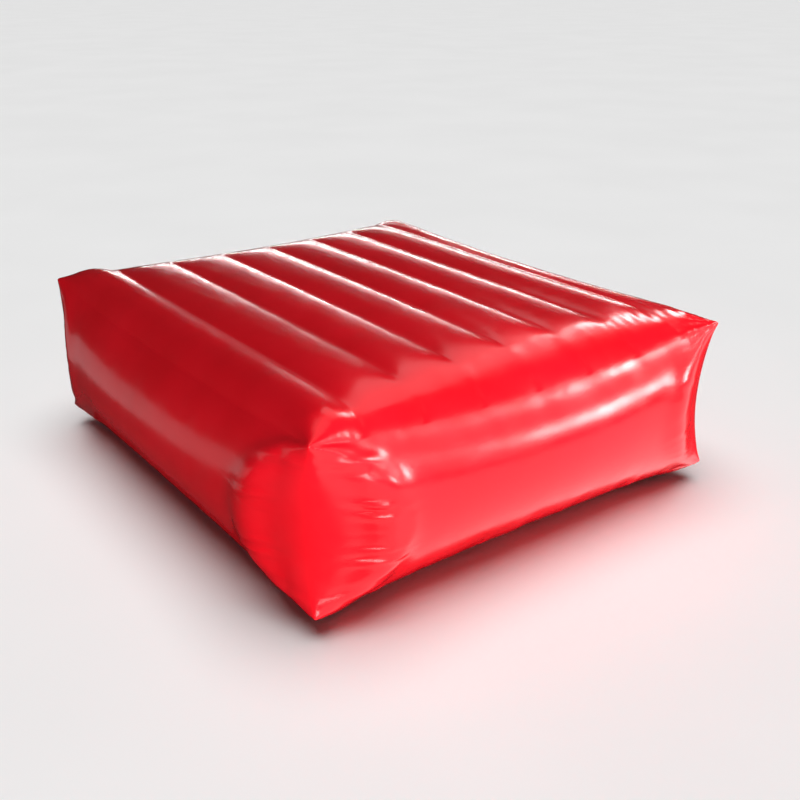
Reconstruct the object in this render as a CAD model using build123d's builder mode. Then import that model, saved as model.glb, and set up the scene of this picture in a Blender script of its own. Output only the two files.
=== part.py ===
"""Inflatable air track mat: a skin of six coated-fabric panels, seven inner baffles and a valve.

Frame: +Z up, X across the baffles, Y along them, -Y is the front. The origin is on the floor
under the middle of the mat. Everything is in millimetres, at the inflated size.
"""

import os
from math import cos, hypot, radians, sin, sqrt

from build123d import *

os.makedirs("parts", exist_ok=True)

# Driving dimensions: the inflated mat
WIDTH = 1850.0  # X, across the baffles
DEPTH = 2040.0  # Y, along the baffles
HEIGHT = 680.0  # Z, floor to the highest lobe's crest
BULGE = 105.0  # how far each side panel swells out past its seams
SEAM_DROP = 110.0  # top seam, below the highest crest
BOTTOM_SEAM_Z = 85.0
DOME = 25.0  # the outermost grooves, below the middle ones
FLATTENED = 3.0  # how much of each bottom lobe the floor presses flat

# Driving dimensions: baffles and the lobes between them
BAFFLES = 7
PITCH = 216.0  # baffle to baffle
GROOVE_DEPTH = 26.0  # groove, below its lobes' crests
SHOULDER_RADIUS = 200.0  # lobe between the last baffle and the side seam
END_GAP = 85.0  # air passage between a baffle's end and the end seam
END_TOP_RADIUS = 210.0  # top sheet where it turns down to an end seam
END_TOP_RISE = 12.0  # how far that turn aims above the crest
END_FOOT_RADIUS = 150.0  # bottom sheet where it turns up to an end seam
UPRIGHT_RADIUS = 290.0  # side panels where they turn an upright corner, seen from above
UPRIGHT_MARGIN = 2.0  # keeps that outline clear of the side panels' widest lines

# Driving dimensions: fabric
SKIN = 1.0
TAPE = 1.2
WEB = 0.9
TAPE_HALF_WIDTH = 22.0
TAPE_LEG = 45.0
LEG_THICKNESS = 1.2
WEB_EDGE_GAP = 5.0  # between a web's edge and the T tape's flange
WEB_CORNER_RADIUS = 60.0
SEAM_TAPE_REACH = 30.0
SEAM_TAPE_END_GAP = 40.0

# Driving dimensions: inflation valve, measured outwards from the back panel's outer face
VALVE_X = 520.0
VALVE_TILT = 25.0  # degrees that the valve looks down
FLANGE_RADIUS = 32.0
WASHER_RADIUS = 34.0
WASHER_FACE = 1.5
FLANGE_FACE = 4.5
FLANGE_ROUND = 1.0
MOUTH_RADIUS = 13.5
MOUTH_DEPTH = 12.0
COLLAR_RADIUS = 20.0
THROAT_RADIUS = 12.5
BARREL_RADIUS = 17.0
BARREL_END = -18.0
SEAT_RADIUS = 9.0
SEAT_FACE = -15.0
INNER_WASHER_FACE = -4.5
NUT_FACE = -9.5
NUT_RADIUS = 31.0
NUT_NOTCHES = 6
GUIDE_FACE = -11.0
GUIDE_BACK = -14.0
GUIDE_HUB_RADIUS = 4.5
GUIDE_ARMS = 3
GUIDE_ARM_WIDTH = 2.4
GUIDE_RING = 1.5
STEM_RADIUS = 2.5
RUNNING_CLEARANCE = 0.05
BUTTON_RADIUS = 5.5
BUTTON_TOP = -0.5
BUTTON_THICKNESS = 2.0
SEAL_RADIUS = 11.5
SEAL_THICKNESS = 3.0
STEM_HEAD = 1.5
WIRE_RADIUS = 0.4
SPRING_RADIUS = 3.6
SPRING_COILS = 4.0
SPRING_CLEARANCE = 0.1
CAP_CLEARANCE = 0.3
CAP_WALL = 2.2
CAP_SEAL = 1.2
CAP_SEAL_HOLE = 15.0
CAP_LIP = 1.5
CAP_TOP = 16.0
CAP_GRIPS = 16
CAP_GRIP_RADIUS = 1.1
TETHER_THICKNESS = 1.2
TETHER_WIDTH = 8.0
TETHER_RING = 4.0
TETHER_LOOP_LEVEL = 11.1  # the loop round the cap, above the valve's plane
TETHER_REACH = 36.0

# Derived places
FAR = 2.0 * max(WIDTH, DEPTH)
SEAM_X = WIDTH / 2 - BULGE
SEAM_Y = DEPTH / 2 - BULGE
TOP_SEAM_Z = HEIGHT - SEAM_DROP
MID_Z = (TOP_SEAM_Z + BOTTOM_SEAM_Z) / 2
BAFFLE_Y = SEAM_Y - END_GAP
BAFFLE_X = [(i - (BAFFLES - 1) / 2) * PITCH for i in range(BAFFLES)]


def radius_of(half_chord, rise):
    """Radius of an arc, from half of its chord and its rise."""
    return (half_chord**2 + rise**2) / (2 * rise)


SIDE_RADIUS = radius_of(TOP_SEAM_Z - MID_Z, BULGE)
LOBE_RADIUS = radius_of(PITCH / 2, GROOVE_DEPTH)


# Outlines. A circle is (u, v, radius) in the plane of its section, with the skin on its inside.
def meet(one, other, near):
    """The crossing of two circles that is nearer to a point."""
    apart = hypot(other[0] - one[0], other[1] - one[1])
    du = (other[0] - one[0]) / apart
    dv = (other[1] - one[1]) / apart
    along = (apart**2 + one[2] ** 2 - other[2] ** 2) / (2 * apart)
    aside = sqrt(one[2] ** 2 - along**2)
    crossings = [
        (one[0] + along * du - side * dv, one[1] + along * dv + side * du)
        for side in (aside, -aside)
    ]
    return min(crossings, key=lambda p: hypot(p[0] - near[0], p[1] - near[1]))


def circle_through(start, end, radius):
    """The circle through two points, bulging to the right of the way from start to end."""
    half = hypot(end[0] - start[0], end[1] - start[1]) / 2
    back = sqrt(radius**2 - half**2)
    du = (end[0] - start[0]) / (2 * half)
    dv = (end[1] - start[1]) / (2 * half)
    middle = ((start[0] + end[0]) / 2, (start[1] + end[1]) / 2)
    return middle[0] - back * dv, middle[1] + back * du, radius


def draw_arc(circle, start, end):
    """Draw the shorter arc of a circle between two points on it."""
    u = (start[0] + end[0]) / 2 - circle[0]
    v = (start[1] + end[1]) / 2 - circle[1]
    scale = circle[2] / hypot(u, v)
    ThreePointArc(start, (circle[0] + u * scale, circle[1] + v * scale), end)


def top_groove_z(x):
    """Height of the top sheet's groove at x: level in the middle, then falling to the sides."""
    fall = max(0.0, abs(x) - PITCH) / (BAFFLE_X[-1] - PITCH)
    return HEIGHT - GROOVE_DEPTH - DOME * fall**2


def cross_section(inset):
    """The XZ outline moved in by inset: its circles and their corners, from the right top seam
    over the top, down the left side and back underneath."""
    bottom_groove_z = GROOVE_DEPTH - FLATTENED
    corners = [
        (SEAM_X, TOP_SEAM_Z),
        *[(x, top_groove_z(x)) for x in reversed(BAFFLE_X)],
        (-SEAM_X, TOP_SEAM_Z),
        (-SEAM_X, BOTTOM_SEAM_Z),
        *[(x, bottom_groove_z) for x in BAFFLE_X],
        (SEAM_X, BOTTOM_SEAM_Z),
    ]
    lobe_radii = [SHOULDER_RADIUS] + [LOBE_RADIUS] * (BAFFLES - 1) + [SHOULDER_RADIUS]
    radii = (lobe_radii + [SIDE_RADIUS]) * 2
    circles = [
        circle_through(corners[i], corners[(i + 1) % len(corners)], radius)
        for i, radius in enumerate(radii)
    ]
    inner = [(u, v, radius - inset) for u, v, radius in circles]
    ends = [meet(inner[i - 1], inner[i], corners[i]) for i in range(len(inner))]
    return inner, ends


def draw_cross_section(inset):
    """Draw the XZ outline, moved in by inset: round sides, and a lobe between each two baffles."""
    circles, ends = cross_section(inset)
    for i, circle in enumerate(circles):
        draw_arc(circle, ends[i], ends[(i + 1) % len(ends)])


def draw_long_section(inset):
    """Draw the YZ outline, moved in by inset: round ends, a flat foot and a flat, high top."""
    crown_z = HEIGHT + END_TOP_RISE
    top_run = sqrt(END_TOP_RADIUS**2 - (END_TOP_RADIUS - crown_z + TOP_SEAM_Z) ** 2)
    foot_run = sqrt(END_FOOT_RADIUS**2 - (END_FOOT_RADIUS - BOTTOM_SEAM_Z) ** 2)
    side = (DEPTH / 2 - SIDE_RADIUS, MID_Z, SIDE_RADIUS - inset)
    top = (SEAM_Y - top_run, crown_z - END_TOP_RADIUS, END_TOP_RADIUS - inset)
    foot = (SEAM_Y - foot_run, END_FOOT_RADIUS, END_FOOT_RADIUS - inset)
    upper_seam = meet(side, top, (SEAM_Y, TOP_SEAM_Z))
    lower_seam = meet(side, foot, (SEAM_Y, BOTTOM_SEAM_Z))
    crown_end = (top[0], crown_z - inset)
    foot_end = (foot[0], inset)
    for sign in (1, -1):
        flip = [(sign * u, v) for u, v in (foot_end, lower_seam, upper_seam, crown_end)]
        draw_arc((sign * foot[0],) + foot[1:], flip[0], flip[1])
        draw_arc((sign * side[0],) + side[1:], flip[1], flip[2])
        draw_arc((sign * top[0],) + top[1:], flip[2], flip[3])
    Line(foot_end, (-foot_end[0], foot_end[1]))
    Line(crown_end, (-crown_end[0], crown_end[1]))


def long_form(inset):
    """The long section drawn out along X."""
    with BuildPart() as form:
        with BuildSketch(Plane.YZ):
            with BuildLine():
                draw_long_section(inset)
            make_face()
        extrude(amount=FAR, both=True)
    return form.part


def envelope(inset):
    """The form that the mat's outer face encloses, moved in by inset."""
    with BuildPart() as form:
        with BuildSketch(Plane.XZ):
            with BuildLine():
                draw_cross_section(inset)
            make_face()
        extrude(amount=FAR, both=True)
        add(long_form(inset), mode=Mode.INTERSECT)
        with BuildSketch(Plane.XY):
            RectangleRounded(
                WIDTH + 2 * (UPRIGHT_MARGIN - inset),
                DEPTH + 2 * (UPRIGHT_MARGIN - inset),
                UPRIGHT_RADIUS - inset,
            )
        extrude(amount=FAR, both=True, mode=Mode.INTERSECT)
    return form.part


outer_form = envelope(0)
lining_form = envelope(SKIN)

# The whole skin, and the layer just inside it that the tapes are cut from
with BuildPart() as skin:
    add(outer_form)
    add(lining_form, mode=Mode.SUBTRACT)

with BuildPart() as tape_layer:
    add(lining_form)
    add(envelope(SKIN + TAPE), mode=Mode.SUBTRACT)

with BuildPart() as side_ring:
    add(skin.part)
    split(bisect_by=Plane.XY.offset(TOP_SEAM_Z), keep=Keep.BOTTOM)
    split(bisect_by=Plane.XY.offset(BOTTOM_SEAM_Z), keep=Keep.TOP)

# The valve's own plane, on the outer face of the back panel and square to it
valve_out = (0.0, cos(radians(VALVE_TILT)), -sin(radians(VALVE_TILT)))
valve_centre = (
    VALVE_X,
    DEPTH / 2 - SIDE_RADIUS + SIDE_RADIUS * valve_out[1],
    MID_Z + SIDE_RADIUS * valve_out[2],
)
valve_plane = Plane(origin=valve_centre, x_dir=(1, 0, 0), z_dir=valve_out)
valve_axis = Axis(valve_centre, valve_out)


# Skin panels
with BuildPart() as top_sheet:
    add(skin.part)
    split(bisect_by=Plane.XY.offset(TOP_SEAM_Z), keep=Keep.TOP)
top_sheet.part.label = "top_sheet"
export_step(top_sheet.part, "parts/top_sheet.step")

with BuildPart() as bottom_sheet:
    add(skin.part)
    split(bisect_by=Plane.XY.offset(BOTTOM_SEAM_Z), keep=Keep.BOTTOM)
bottom_sheet.part.label = "bottom_sheet"
export_step(bottom_sheet.part, "parts/bottom_sheet.step")

def end_region(way):
    """The ground that an end panel stands on, out to its corners' diagonals."""
    step = 2 * BULGE
    with BuildSketch() as region:
        Polygon(
            (-SEAM_X - step, way * (SEAM_Y + step)),
            (SEAM_X + step, way * (SEAM_Y + step)),
            (SEAM_X - step, way * (SEAM_Y - step)),
            (-SEAM_X + step, way * (SEAM_Y - step)),
            align=None,
        )
    return region.sketch


both_ends = end_region(-1) + end_region(1)

with BuildPart() as front_panel:
    add(side_ring.part)
    extrude(end_region(-1), amount=HEIGHT, both=True, mode=Mode.INTERSECT)
front_panel.part.label = "front_panel"
export_step(front_panel.part, "parts/front_panel.step")

with BuildPart() as back_panel:
    add(side_ring.part)
    extrude(end_region(1), amount=HEIGHT, both=True, mode=Mode.INTERSECT)
    with BuildSketch(valve_plane):
        Circle(BARREL_RADIUS)
    extrude(amount=WASHER_RADIUS, both=True, mode=Mode.SUBTRACT)
back_panel.part.label = "back_panel"
export_step(back_panel.part, "parts/back_panel.step")

with BuildPart() as right_panel:
    add(side_ring.part)
    extrude(both_ends, amount=HEIGHT, both=True, mode=Mode.SUBTRACT)
    split(bisect_by=Plane.YZ, keep=Keep.TOP)
right_panel.part.label = "right_panel"
export_step(right_panel.part, "parts/right_panel.step")

with BuildPart() as left_panel:
    add(side_ring.part)
    extrude(both_ends, amount=HEIGHT, both=True, mode=Mode.SUBTRACT)
    split(bisect_by=Plane.YZ, keep=Keep.BOTTOM)
left_panel.part.label = "left_panel"
export_step(left_panel.part, "parts/left_panel.step")


# Baffles: a web of fabric under each groove, lapped on the legs of an upper and a lower T tape
def groove_roots(inset):
    """Heights of the upper and of the lower grooves' points, on the outline moved in by inset."""
    ends = cross_section(inset)[1]
    upper = [v for _, v in ends[BAFFLES:0:-1]]
    lower = [v for _, v in ends[BAFFLES + 3 : 2 * BAFFLES + 3]]
    return upper, lower


upper_faces, lower_faces = groove_roots(SKIN + TAPE)
upper_roots, lower_roots = groove_roots(SKIN + TAPE / 2)

for index, baffle_x in enumerate(BAFFLE_X):
    number = index + 1
    for level, sign, face_z, root_z in (
        ("upper", 1, upper_faces[index], upper_roots[index]),
        ("lower", -1, lower_faces[index], lower_roots[index]),
    ):
        leg_end_z = face_z - sign * TAPE_LEG
        with BuildPart() as t_tape:
            with BuildSketch(Plane.XY.offset(MID_Z)):
                with Locations((baffle_x, 0)):
                    Rectangle(2 * TAPE_HALF_WIDTH, 2 * BAFFLE_Y)
            extrude(amount=sign * HEIGHT)
            add(tape_layer.part, mode=Mode.INTERSECT)
            with BuildSketch(Plane.XY.offset(leg_end_z)):
                with Locations((baffle_x, 0)):
                    Rectangle(LEG_THICKNESS, 2 * BAFFLE_Y)
            extrude(amount=root_z - leg_end_z)
        t_tape.part.label = f"{level}_t_tape_{number}"
        export_step(t_tape.part, f"parts/{level}_t_tape_{number}.step")

    web_height = upper_faces[index] - lower_faces[index] - 2 * WEB_EDGE_GAP
    web_middle = (upper_faces[index] + lower_faces[index]) / 2
    with BuildPart() as baffle_web:
        with BuildSketch(Plane.YZ.offset(baffle_x + LEG_THICKNESS / 2)):
            with Locations((0, web_middle)):
                RectangleRounded(2 * BAFFLE_Y, web_height, WEB_CORNER_RADIUS)
        extrude(amount=WEB)
    baffle_web.part.label = f"baffle_web_{number}"
    export_step(baffle_web.part, f"parts/baffle_web_{number}.step")


# Seam tapes: strips bonded along the inside of every edge
def long_edge_region(plane, seam_at, seam_z, length):
    """A round bar about a horizontal seam, which the seam's tape is cut out with."""
    with BuildPart() as region:
        with BuildSketch(plane):
            with Locations((seam_at, seam_z)):
                Circle(SEAM_TAPE_REACH)
        extrude(amount=length / 2, both=True)
    return region.part


for level, seam_z in (("top", TOP_SEAM_Z), ("bottom", BOTTOM_SEAM_Z)):
    for side, plane, seam_at, seam_length in (
        ("front", Plane.YZ, -SEAM_Y, 2 * (SEAM_X - SEAM_TAPE_END_GAP)),
        ("back", Plane.YZ, SEAM_Y, 2 * (SEAM_X - SEAM_TAPE_END_GAP)),
        ("left", Plane.XZ, -SEAM_X, 2 * (SEAM_Y - SEAM_TAPE_END_GAP)),
        ("right", Plane.XZ, SEAM_X, 2 * (SEAM_Y - SEAM_TAPE_END_GAP)),
    ):
        with BuildPart() as seam_tape:
            add(tape_layer.part)
            add(long_edge_region(plane, seam_at, seam_z, seam_length), mode=Mode.INTERSECT)
        seam_tape.part.label = f"{level}_{side}_seam_tape"
        export_step(seam_tape.part, f"parts/{level}_{side}_seam_tape.step")

CORNER_TAPE_Z = [BOTTOM_SEAM_Z + SEAM_TAPE_END_GAP, TOP_SEAM_Z - SEAM_TAPE_END_GAP]
for side_x, sign_x in (("left", -1), ("right", 1)):
    for side_y, sign_y in (("front", -1), ("back", 1)):
        corner_plane = Plane(
            origin=(sign_x * SEAM_X, sign_y * SEAM_Y, CORNER_TAPE_Z[0]),
            x_dir=(sign_x, sign_y, 0),
            z_dir=(0, 0, 1),
        )
        with BuildPart() as corner_tape:
            with BuildSketch(corner_plane):
                Rectangle(4 * BULGE, 2 * SEAM_TAPE_REACH)
            extrude(amount=CORNER_TAPE_Z[1] - CORNER_TAPE_Z[0])
            add(tape_layer.part, mode=Mode.INTERSECT)
        corner_tape.part.label = f"{side_y}_{side_x}_corner_tape"
        export_step(corner_tape.part, f"parts/{side_y}_{side_x}_corner_tape.step")


# Inflation valve: parts turned about the valve's axis, from the outside in
def ring(radius, hole, low, high):
    """A ring about the valve's axis, between two heights above the valve's plane."""
    with BuildPart() as turned_ring:
        with BuildSketch(valve_plane.offset(low)):
            Circle(radius)
            if hole:
                Circle(hole, mode=Mode.SUBTRACT)
        extrude(amount=high - low)
    return turned_ring.part


with BuildPart() as valve_outer_washer:
    add(ring(WASHER_RADIUS, BARREL_RADIUS, -2 * WASHER_FACE, WASHER_FACE))
    add(outer_form, mode=Mode.SUBTRACT)
valve_outer_washer.part.label = "valve_outer_washer"
export_step(valve_outer_washer.part, "parts/valve_outer_washer.step")

with BuildPart() as valve_inner_washer:
    add(ring(WASHER_RADIUS, BARREL_RADIUS, INNER_WASHER_FACE, 0))
    add(lining_form, mode=Mode.INTERSECT)
valve_inner_washer.part.label = "valve_inner_washer"
export_step(valve_inner_washer.part, "parts/valve_inner_washer.step")

with BuildPart() as valve_body:
    add(ring(FLANGE_RADIUS, None, WASHER_FACE, FLANGE_FACE))
    fillet(valve_body.edges().group_by(valve_axis)[-1], radius=FLANGE_ROUND)
    add(ring(COLLAR_RADIUS, None, FLANGE_FACE, MOUTH_DEPTH))
    add(ring(BARREL_RADIUS, None, BARREL_END, WASHER_FACE))
    add(ring(MOUTH_RADIUS, None, 0, MOUTH_DEPTH), mode=Mode.SUBTRACT)
    add(ring(THROAT_RADIUS, None, SEAT_FACE, 0), mode=Mode.SUBTRACT)
    add(ring(SEAT_RADIUS, None, BARREL_END, SEAT_FACE), mode=Mode.SUBTRACT)
valve_body.part.label = "valve_body"
export_step(valve_body.part, "parts/valve_body.step")

with BuildPart() as valve_nut:
    add(ring(NUT_RADIUS, BARREL_RADIUS, NUT_FACE, INNER_WASHER_FACE))
    with BuildSketch(valve_plane.offset(NUT_FACE)):
        with PolarLocations(NUT_RADIUS, NUT_NOTCHES):
            Rectangle(NUT_RADIUS / 3, NUT_RADIUS / 4)
    extrude(amount=INNER_WASHER_FACE - NUT_FACE, mode=Mode.SUBTRACT)
valve_nut.part.label = "valve_nut"
export_step(valve_nut.part, "parts/valve_nut.step")

with BuildPart() as valve_stem_guide:
    add(ring(THROAT_RADIUS, THROAT_RADIUS - GUIDE_RING, GUIDE_BACK, GUIDE_FACE))
    add(ring(GUIDE_HUB_RADIUS, None, GUIDE_BACK, GUIDE_FACE))
    with BuildSketch(valve_plane.offset(GUIDE_BACK)):
        with PolarLocations(THROAT_RADIUS / 2, GUIDE_ARMS):
            Rectangle(THROAT_RADIUS - GUIDE_RING, GUIDE_ARM_WIDTH)
    extrude(amount=GUIDE_FACE - GUIDE_BACK)
    add(ring(STEM_RADIUS + RUNNING_CLEARANCE, None, GUIDE_BACK, GUIDE_FACE), mode=Mode.SUBTRACT)
valve_stem_guide.part.label = "valve_stem_guide"
export_step(valve_stem_guide.part, "parts/valve_stem_guide.step")

SEAL_BACK = BARREL_END - SEAL_THICKNESS
with BuildPart() as valve_stem:
    add(ring(BUTTON_RADIUS, None, BUTTON_TOP - BUTTON_THICKNESS, BUTTON_TOP))
    add(ring(STEM_RADIUS, None, SEAL_BACK, BUTTON_TOP - BUTTON_THICKNESS))
    add(ring(BUTTON_RADIUS, None, SEAL_BACK - STEM_HEAD, SEAL_BACK))
valve_stem.part.label = "valve_stem"
export_step(valve_stem.part, "parts/valve_stem.step")

with BuildPart() as valve_seal:
    add(ring(SEAL_RADIUS, STEM_RADIUS, SEAL_BACK, BARREL_END - RUNNING_CLEARANCE))
valve_seal.part.label = "valve_seal"
export_step(valve_seal.part, "parts/valve_seal.step")

spring_low = GUIDE_FACE + WIRE_RADIUS + SPRING_CLEARANCE
spring_high = BUTTON_TOP - BUTTON_THICKNESS - WIRE_RADIUS - SPRING_CLEARANCE
with BuildPart() as valve_spring:
    with BuildLine():
        coil = Helix(
            pitch=(spring_high - spring_low) / SPRING_COILS,
            height=spring_high - spring_low,
            radius=SPRING_RADIUS,
            center=valve_plane.offset(spring_low).origin,
            direction=valve_out,
        )
    with BuildSketch(Plane(origin=coil @ 0, z_dir=coil % 0)):
        Circle(WIRE_RADIUS)
    sweep(is_frenet=True)
valve_spring.part.label = "valve_spring"
export_step(valve_spring.part, "parts/valve_spring.step")

cap_bore = COLLAR_RADIUS + CAP_CLEARANCE
cap_skirt = cap_bore + CAP_WALL
cap_foot = FLANGE_FACE + TETHER_THICKNESS + CAP_CLEARANCE
cap_seal_low = MOUTH_DEPTH + CAP_CLEARANCE
cap_seal_high = cap_seal_low + CAP_SEAL
cap_lip_low = TETHER_LOOP_LEVEL + TETHER_THICKNESS / 2 + CAP_CLEARANCE
with BuildPart() as valve_cap:
    add(ring(cap_skirt + CAP_LIP, None, cap_lip_low, CAP_TOP))
    fillet(valve_cap.edges().group_by(valve_axis)[-1], radius=CAP_WALL / 2)
    with BuildSketch(valve_plane.offset(cap_lip_low)):
        with PolarLocations(cap_skirt + CAP_LIP, CAP_GRIPS):
            Circle(CAP_GRIP_RADIUS)
    extrude(amount=CAP_TOP - cap_lip_low, mode=Mode.SUBTRACT)
    add(ring(cap_skirt, None, cap_foot, cap_lip_low))
    add(ring(cap_bore, None, cap_foot, cap_seal_high), mode=Mode.SUBTRACT)
valve_cap.part.label = "valve_cap"
export_step(valve_cap.part, "parts/valve_cap.step")

with BuildPart() as valve_cap_seal:
    add(ring(cap_bore, CAP_SEAL_HOLE, cap_seal_low, cap_seal_high))
valve_cap_seal.part.label = "valve_cap_seal"
export_step(valve_cap_seal.part, "parts/valve_cap_seal.step")

# A loop round the collar's foot, a strap that doubles back, and a loop under the cap's lip
tether_low = FLANGE_FACE + TETHER_THICKNESS / 2
tether_bend = (TETHER_LOOP_LEVEL - tether_low) / 2
tether_loop_hole = cap_skirt + CAP_CLEARANCE
tether_section_plane = Plane(
    origin=valve_centre, x_dir=(1, 0, 0), z_dir=valve_plane.y_dir
).offset(-TETHER_WIDTH / 2)
with BuildPart() as valve_cap_tether:
    with BuildSketch(tether_section_plane):
        with BuildLine():
            lower_run = Line((COLLAR_RADIUS + TETHER_RING / 2, -tether_low), (TETHER_REACH, -tether_low))
            bend = ThreePointArc(
                lower_run @ 1,
                (TETHER_REACH + tether_bend, -tether_low - tether_bend),
                (TETHER_REACH, -TETHER_LOOP_LEVEL),
            )
            Line(bend @ 1, (tether_loop_hole + TETHER_RING / 2, -TETHER_LOOP_LEVEL))
            offset(amount=TETHER_THICKNESS / 2, side=Side.BOTH)
        make_face()
    extrude(amount=TETHER_WIDTH)
    for hole, level in ((COLLAR_RADIUS, tether_low), (tether_loop_hole, TETHER_LOOP_LEVEL)):
        low, high = level - TETHER_THICKNESS / 2, level + TETHER_THICKNESS / 2
        add(ring(hole + TETHER_RING, hole, low, high))
        add(ring(hole, None, low, high), mode=Mode.SUBTRACT)
valve_cap_tether.part.label = "valve_cap_tether"
export_step(valve_cap_tether.part, "parts/valve_cap_tether.step")
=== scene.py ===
"""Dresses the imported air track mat: the skin is inflated by cloth simulation to the CAD's size
and cut into the CAD's panels, tapes and webs follow it, and the valve keeps its CAD parts.
"""

from math import cos, pi, radians, sin, sqrt

import bmesh
import bpy
import numpy as np
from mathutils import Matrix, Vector


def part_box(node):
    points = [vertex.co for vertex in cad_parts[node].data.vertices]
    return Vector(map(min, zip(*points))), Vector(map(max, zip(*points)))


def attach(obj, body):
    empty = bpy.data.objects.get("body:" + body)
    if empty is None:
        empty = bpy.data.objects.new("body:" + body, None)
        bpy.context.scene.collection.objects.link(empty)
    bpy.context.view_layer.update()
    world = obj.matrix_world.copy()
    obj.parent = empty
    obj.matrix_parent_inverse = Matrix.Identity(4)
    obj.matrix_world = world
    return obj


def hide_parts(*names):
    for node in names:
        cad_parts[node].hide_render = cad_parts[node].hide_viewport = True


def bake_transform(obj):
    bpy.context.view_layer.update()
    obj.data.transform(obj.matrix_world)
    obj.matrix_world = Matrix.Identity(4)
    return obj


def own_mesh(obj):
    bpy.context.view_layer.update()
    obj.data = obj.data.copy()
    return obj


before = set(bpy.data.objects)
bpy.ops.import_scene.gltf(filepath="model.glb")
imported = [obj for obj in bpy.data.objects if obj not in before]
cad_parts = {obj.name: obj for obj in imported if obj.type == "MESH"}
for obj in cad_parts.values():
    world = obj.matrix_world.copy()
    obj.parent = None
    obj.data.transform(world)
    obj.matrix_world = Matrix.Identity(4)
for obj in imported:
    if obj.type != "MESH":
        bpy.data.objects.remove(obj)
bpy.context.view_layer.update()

MM = 0.001


def low(node):
    """Lowest corner of a CAD node."""
    return np.array(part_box(node)[0])


def high(node):
    """Highest corner of a CAD node."""
    return np.array(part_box(node)[1])


# Places that the frame gives
BAFFLES = 7
NUMBERS = range(1, BAFFLES + 1)
SIDES = ("front", "back", "left", "right")
skin_low = np.array([low("left_panel")[0], low("front_panel")[1], low("bottom_sheet")[2]])
skin_high = np.array([high("right_panel")[0], high("back_panel")[1], high("top_sheet")[2]])
size = skin_high - skin_low
web_x = [(low(f"baffle_web_{n}") + high(f"baffle_web_{n}"))[0] / 2 for n in NUMBERS]
web_end = high("baffle_web_1")[1]
seam_top = high("back_panel")[2]
seam_bottom = low("back_panel")[2]
seam_y = low("back_panel")[1]
valve_at = (low("valve_outer_washer") + high("valve_outer_washer")) / 2

scene = bpy.context.scene

# The cloth as cut, in shares of the inflated size
CUT_SHARE = np.array([0.922, 0.914, 0.806])
WEB_SHARE = (0.91, 0.942, 0.955, 0.958, 0.955, 0.942, 0.92)  # heights of the webs
CREEP = 0.988  # inflated pitch of the baffles over their pitch as cut
CORNER_ROUND = 0.07  # radius of the upright corners at mid height, in metres
CORNER_EASE = 0.75
END_SAG = 0.035  # how far the end seams are cut below the corners
SIDE_SAG = 0.015
SAG_REACH = 0.16
EDGE_CELLS = 11
LOBE_CELLS = 10
END_CELLS = 10
LENGTH_CELLS = 38
HEIGHT_CELLS = 26
GRADING = 0.4  # how much finer the cells are towards the seams and grooves
UNEVEN = 0.5 * MM
SEED = 3
STEPS = 14
PRESSURE = 60.0
PRESSED = 5 * MM  # how far the floor presses the underside in
SUNK = 1.6 * MM  # from the skin's face to the middle of the tapes inside it
LAP = 24 * MM  # how far the top sheet laps over the side panels
LAP_RISE = 0.4 * MM

cut = CUT_SHARE * size
cut_groove = [x / CREEP for x in web_x]
cut_web_end = cut[1] / 2 * (1 - (seam_y - web_end) / seam_y)


# Building and inflating the cloth
def bell(distance, reach):
    """1 at no distance, fading to nothing beyond a reach."""
    return np.exp(-((distance / reach) ** 2))


def from_edges(flat):
    """How far points of the cloth as cut are in from its sides, and from its ends."""
    return cut[0] / 2 - abs(flat[:, 0]), cut[1] / 2 - abs(flat[:, 1])


def graded(stops, counts):
    """Grid lines through the stops, closer together towards each stop."""
    lines = [stops[0]]
    for start, end, count in zip(stops[:-1], stops[1:], counts):
        share = np.linspace(0, 1, count + 1)[1:]
        eased = 0.5 - 0.5 * np.cos(pi * share)
        lines += list(start + (end - start) * ((1 - GRADING) * share + GRADING * eased))
    return np.array(lines)


def cut_shape(flat):
    """Points of the plain box moved to the cut shape: round upright corners, sagging top seams."""
    half = cut / 2
    place = flat.copy()
    to_side, to_end = from_edges(flat)
    height = flat[:, 2] / cut[2]
    radius = CORNER_ROUND * np.maximum(4 * height * (1 - height), 0) ** CORNER_EASE
    along = np.maximum(to_side, to_end)
    round_part = (np.minimum(to_side, to_end) < MM) & (radius > MM) & (along < radius)
    turn = (1 - along / np.maximum(radius, MM)) * pi / 4
    on_end = to_end < MM
    near = half[0] - radius + radius * np.where(on_end, np.sin(turn), np.cos(turn))
    far = half[1] - radius + radius * np.where(on_end, np.cos(turn), np.sin(turn))
    place[round_part, 0] = (np.sign(flat[:, 0]) * near)[round_part]
    place[round_part, 1] = (np.sign(flat[:, 1]) * far)[round_part]
    end_sag = END_SAG * (1 - (flat[:, 0] / half[0]) ** 2) * bell(to_end, SAG_REACH)
    side_sag = SIDE_SAG * (1 - (flat[:, 1] / half[1]) ** 2) * bell(to_side, SAG_REACH)
    place[:, 2] -= (end_sag + side_sag) * height
    return place


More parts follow.
